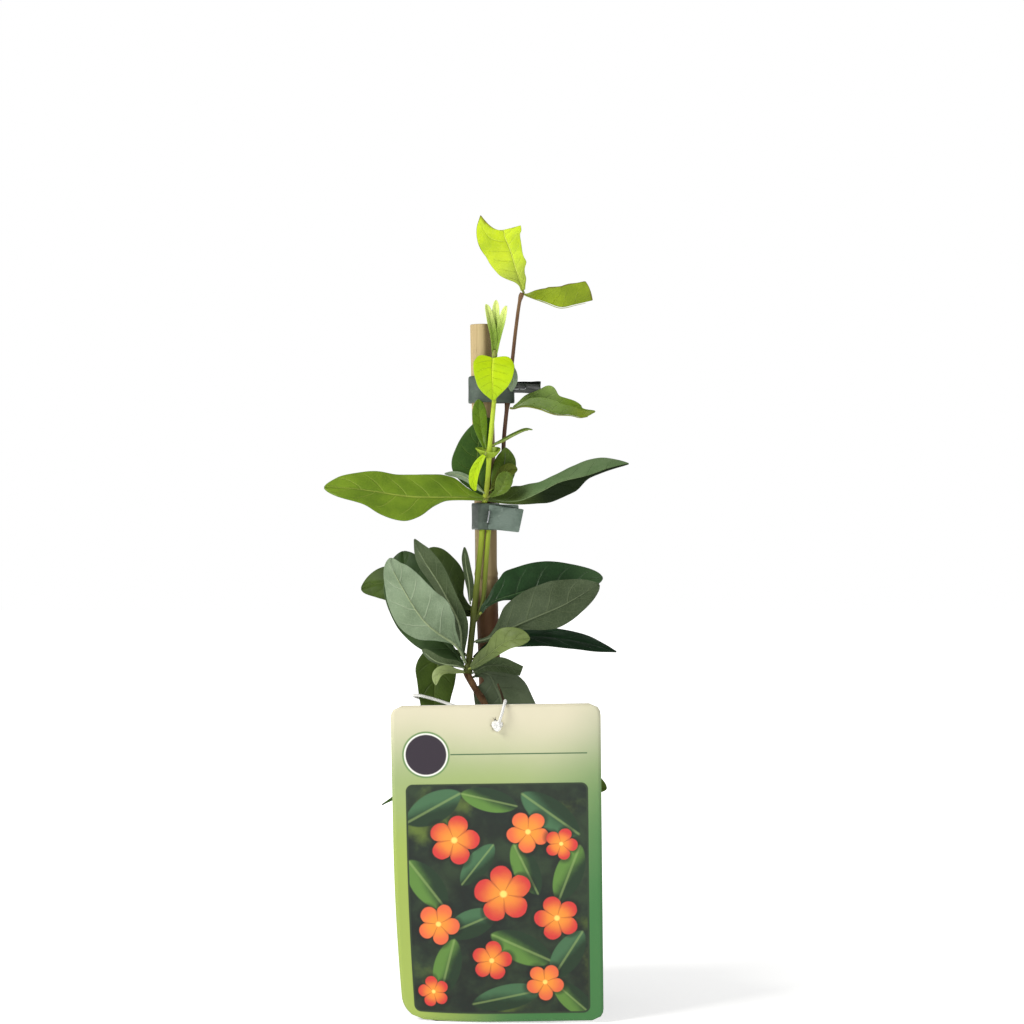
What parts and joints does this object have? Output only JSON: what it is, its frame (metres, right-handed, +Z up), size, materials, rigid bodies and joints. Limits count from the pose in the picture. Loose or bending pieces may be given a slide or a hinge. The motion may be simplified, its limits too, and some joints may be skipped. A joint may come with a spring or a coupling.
{
  "type": "honeysuckle vine",
  "caption": "Young climbing honeysuckle tied to a bamboo cane, in a small square nursery pot, with a plain hang label on an elastic string.",
  "frame": {"origin": "middle of the pot's flat underside", "axes": "+Z up along the plant; -Y is the front, the side the hang label faces; +X is to the right seen from the front"},
  "size_m": [0.1233, 0.0912, 0.3242],
  "materials": {
    "leaf_lime": "thin young leaf, satin",
    "leaf_mid": "satin leaf",
    "leaf_dark": "glossy dark leaf",
    "leaf_pale": "matt grey-green underside",
    "stem_green": "smooth green shoot",
    "stem_red": "smooth red-brown shoot",
    "stem_bark": "rough brown bark",
    "bamboo": "split-smooth bamboo",
    "tape": "soft tape, satin",
    "steel_wire": "bright wire",
    "card": "printed plastic card",
    "elastic": "white elastic string",
    "pot_plastic": "moulded black plastic",
    "compost": "moist compost"
  },
  "bodies": {
    "root": {"cane": "bamboo", "label": "card", "label_string": "elastic", "leaf_back_right": "leaf_pale", "leaf_behind_left": "leaf_dark", "leaf_collar": "leaf_lime", "leaf_disc_back": "leaf_pale", "leaf_disc_front": "leaf_lime", "leaf_edge_left": "leaf_pale", "leaf_far_left": "leaf_mid", "leaf_front_left": "leaf_pale", "leaf_front_small": "leaf_mid", "leaf_hanging_left": "leaf_mid", "leaf_hanging_right": "leaf_dark", "leaf_label_left": "leaf_dark", "leaf_label_right": "leaf_pale", "leaf_lime_crescent": "leaf_lime", "leaf_low_left": "leaf_pale", "leaf_main_left": "leaf_lime", "leaf_main_right": "leaf_dark", "leaf_narrow_upright": "leaf_pale", "leaf_olive": "leaf_mid", "leaf_oval_large": "leaf_dark", "leaf_oval_small": "leaf_mid", "leaf_right_behind": "leaf_pale", "leaf_right_glossy": "leaf_dark", "leaf_right_low": "leaf_dark", "leaf_right_underside": "leaf_pale", "leaf_round_left": "leaf_mid", "leaf_small_curled": "leaf_mid", "leaf_spoon": "leaf_mid", "leaf_tall_left": "leaf_pale", "leaf_thin_right": "leaf_mid", "leaf_top": "leaf_lime", "leaf_top_right": "leaf_lime", "leaf_upper_right": "leaf_mid", "pot": "pot_plastic", "shoot_tip": "leaf_lime", "soil": "compost", "staple_lower": "steel_wire", "staple_upper": "steel_wire", "stem_main": "stem_green", "stem_red": "stem_red", "stem_woody": "stem_bark", "tie_lower": "tape", "tie_upper": "tape"}
  },
  "joints": []
}
